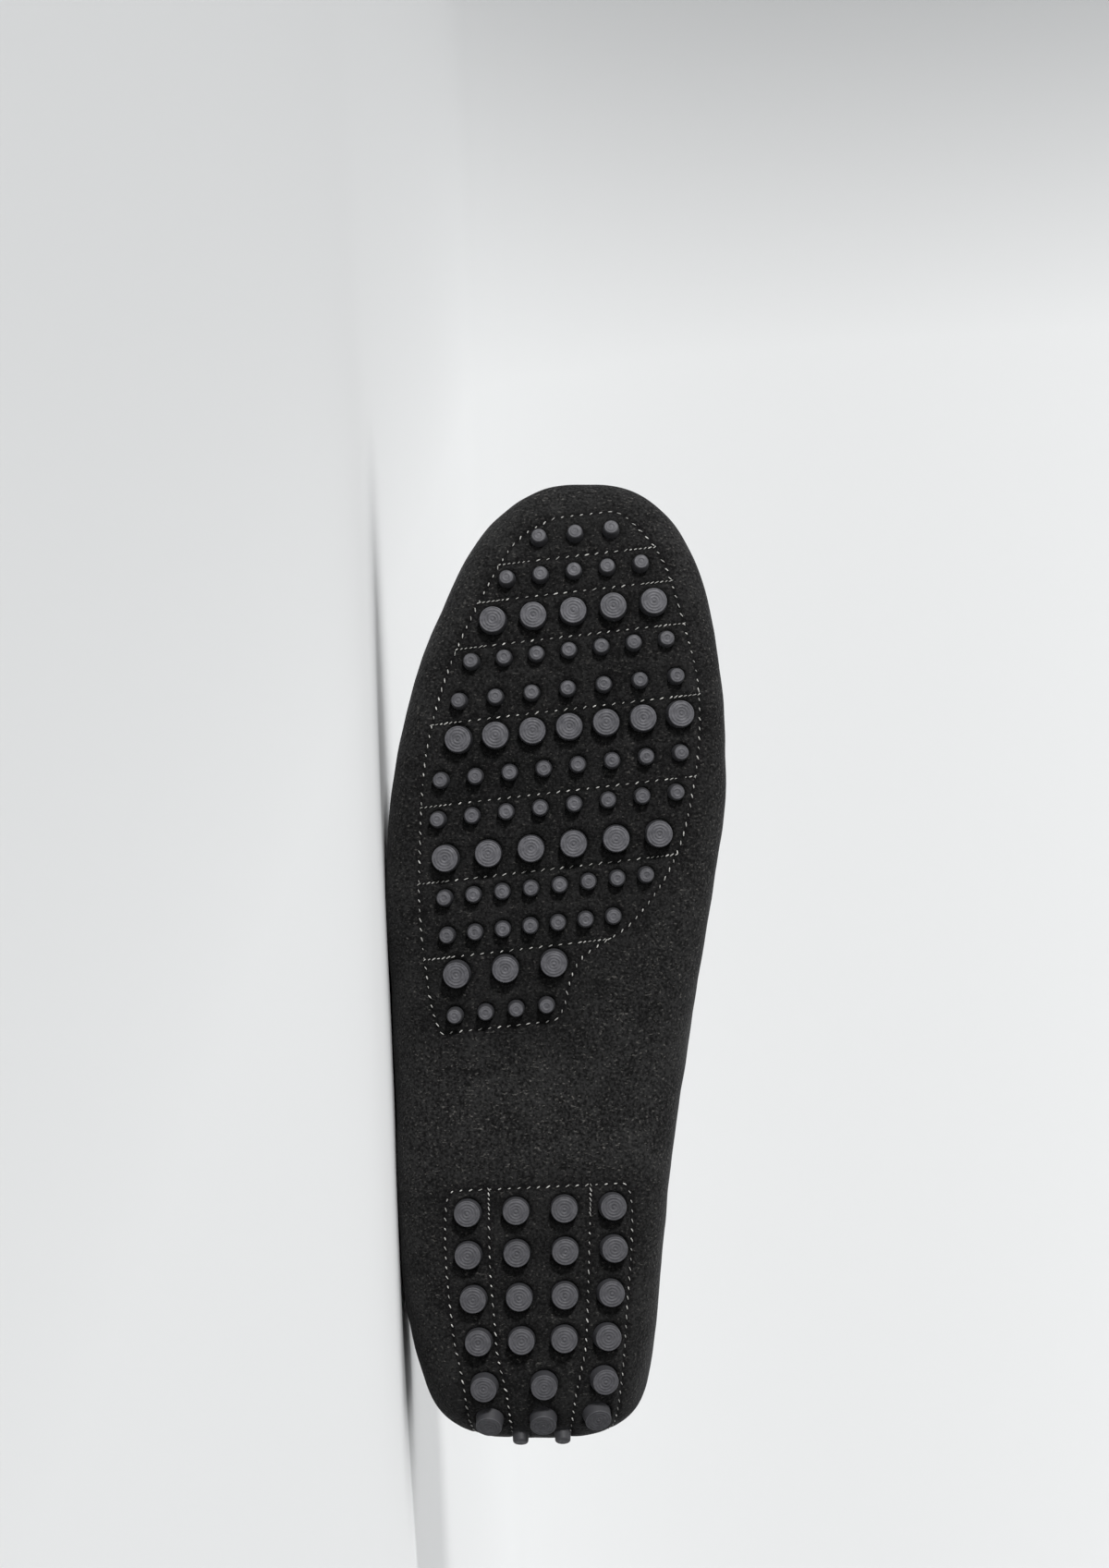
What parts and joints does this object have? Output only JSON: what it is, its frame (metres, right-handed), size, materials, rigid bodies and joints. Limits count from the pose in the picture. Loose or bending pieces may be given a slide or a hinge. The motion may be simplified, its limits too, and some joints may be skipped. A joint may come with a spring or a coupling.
{
  "type": "driving moccasin",
  "caption": "Right driving moccasin in black suede: a soft slip-on shoe with round rubber studs standing through its underside and up the back of its heel",
  "frame": {"origin": "on the floor under the middle of the shoe, which lies on its outer side", "axes": "the toe points to -X, the studded underside faces -Y, the collar faces +Y and the inner side of the foot is up, +Z"},
  "size_m": [0.284, 0.0796, 0.1021],
  "materials": {
    "black_suede": "napped suede",
    "grey_rubber": "matte moulded rubber",
    "sock_leather": "smooth leather"
  },
  "bodies": {
    "root": {"upper": "black_suede", "apron": "black_suede", "forefoot_sole": "grey_rubber", "heel_sole": "grey_rubber", "insole": "sock_leather"}
  },
  "joints": []
}
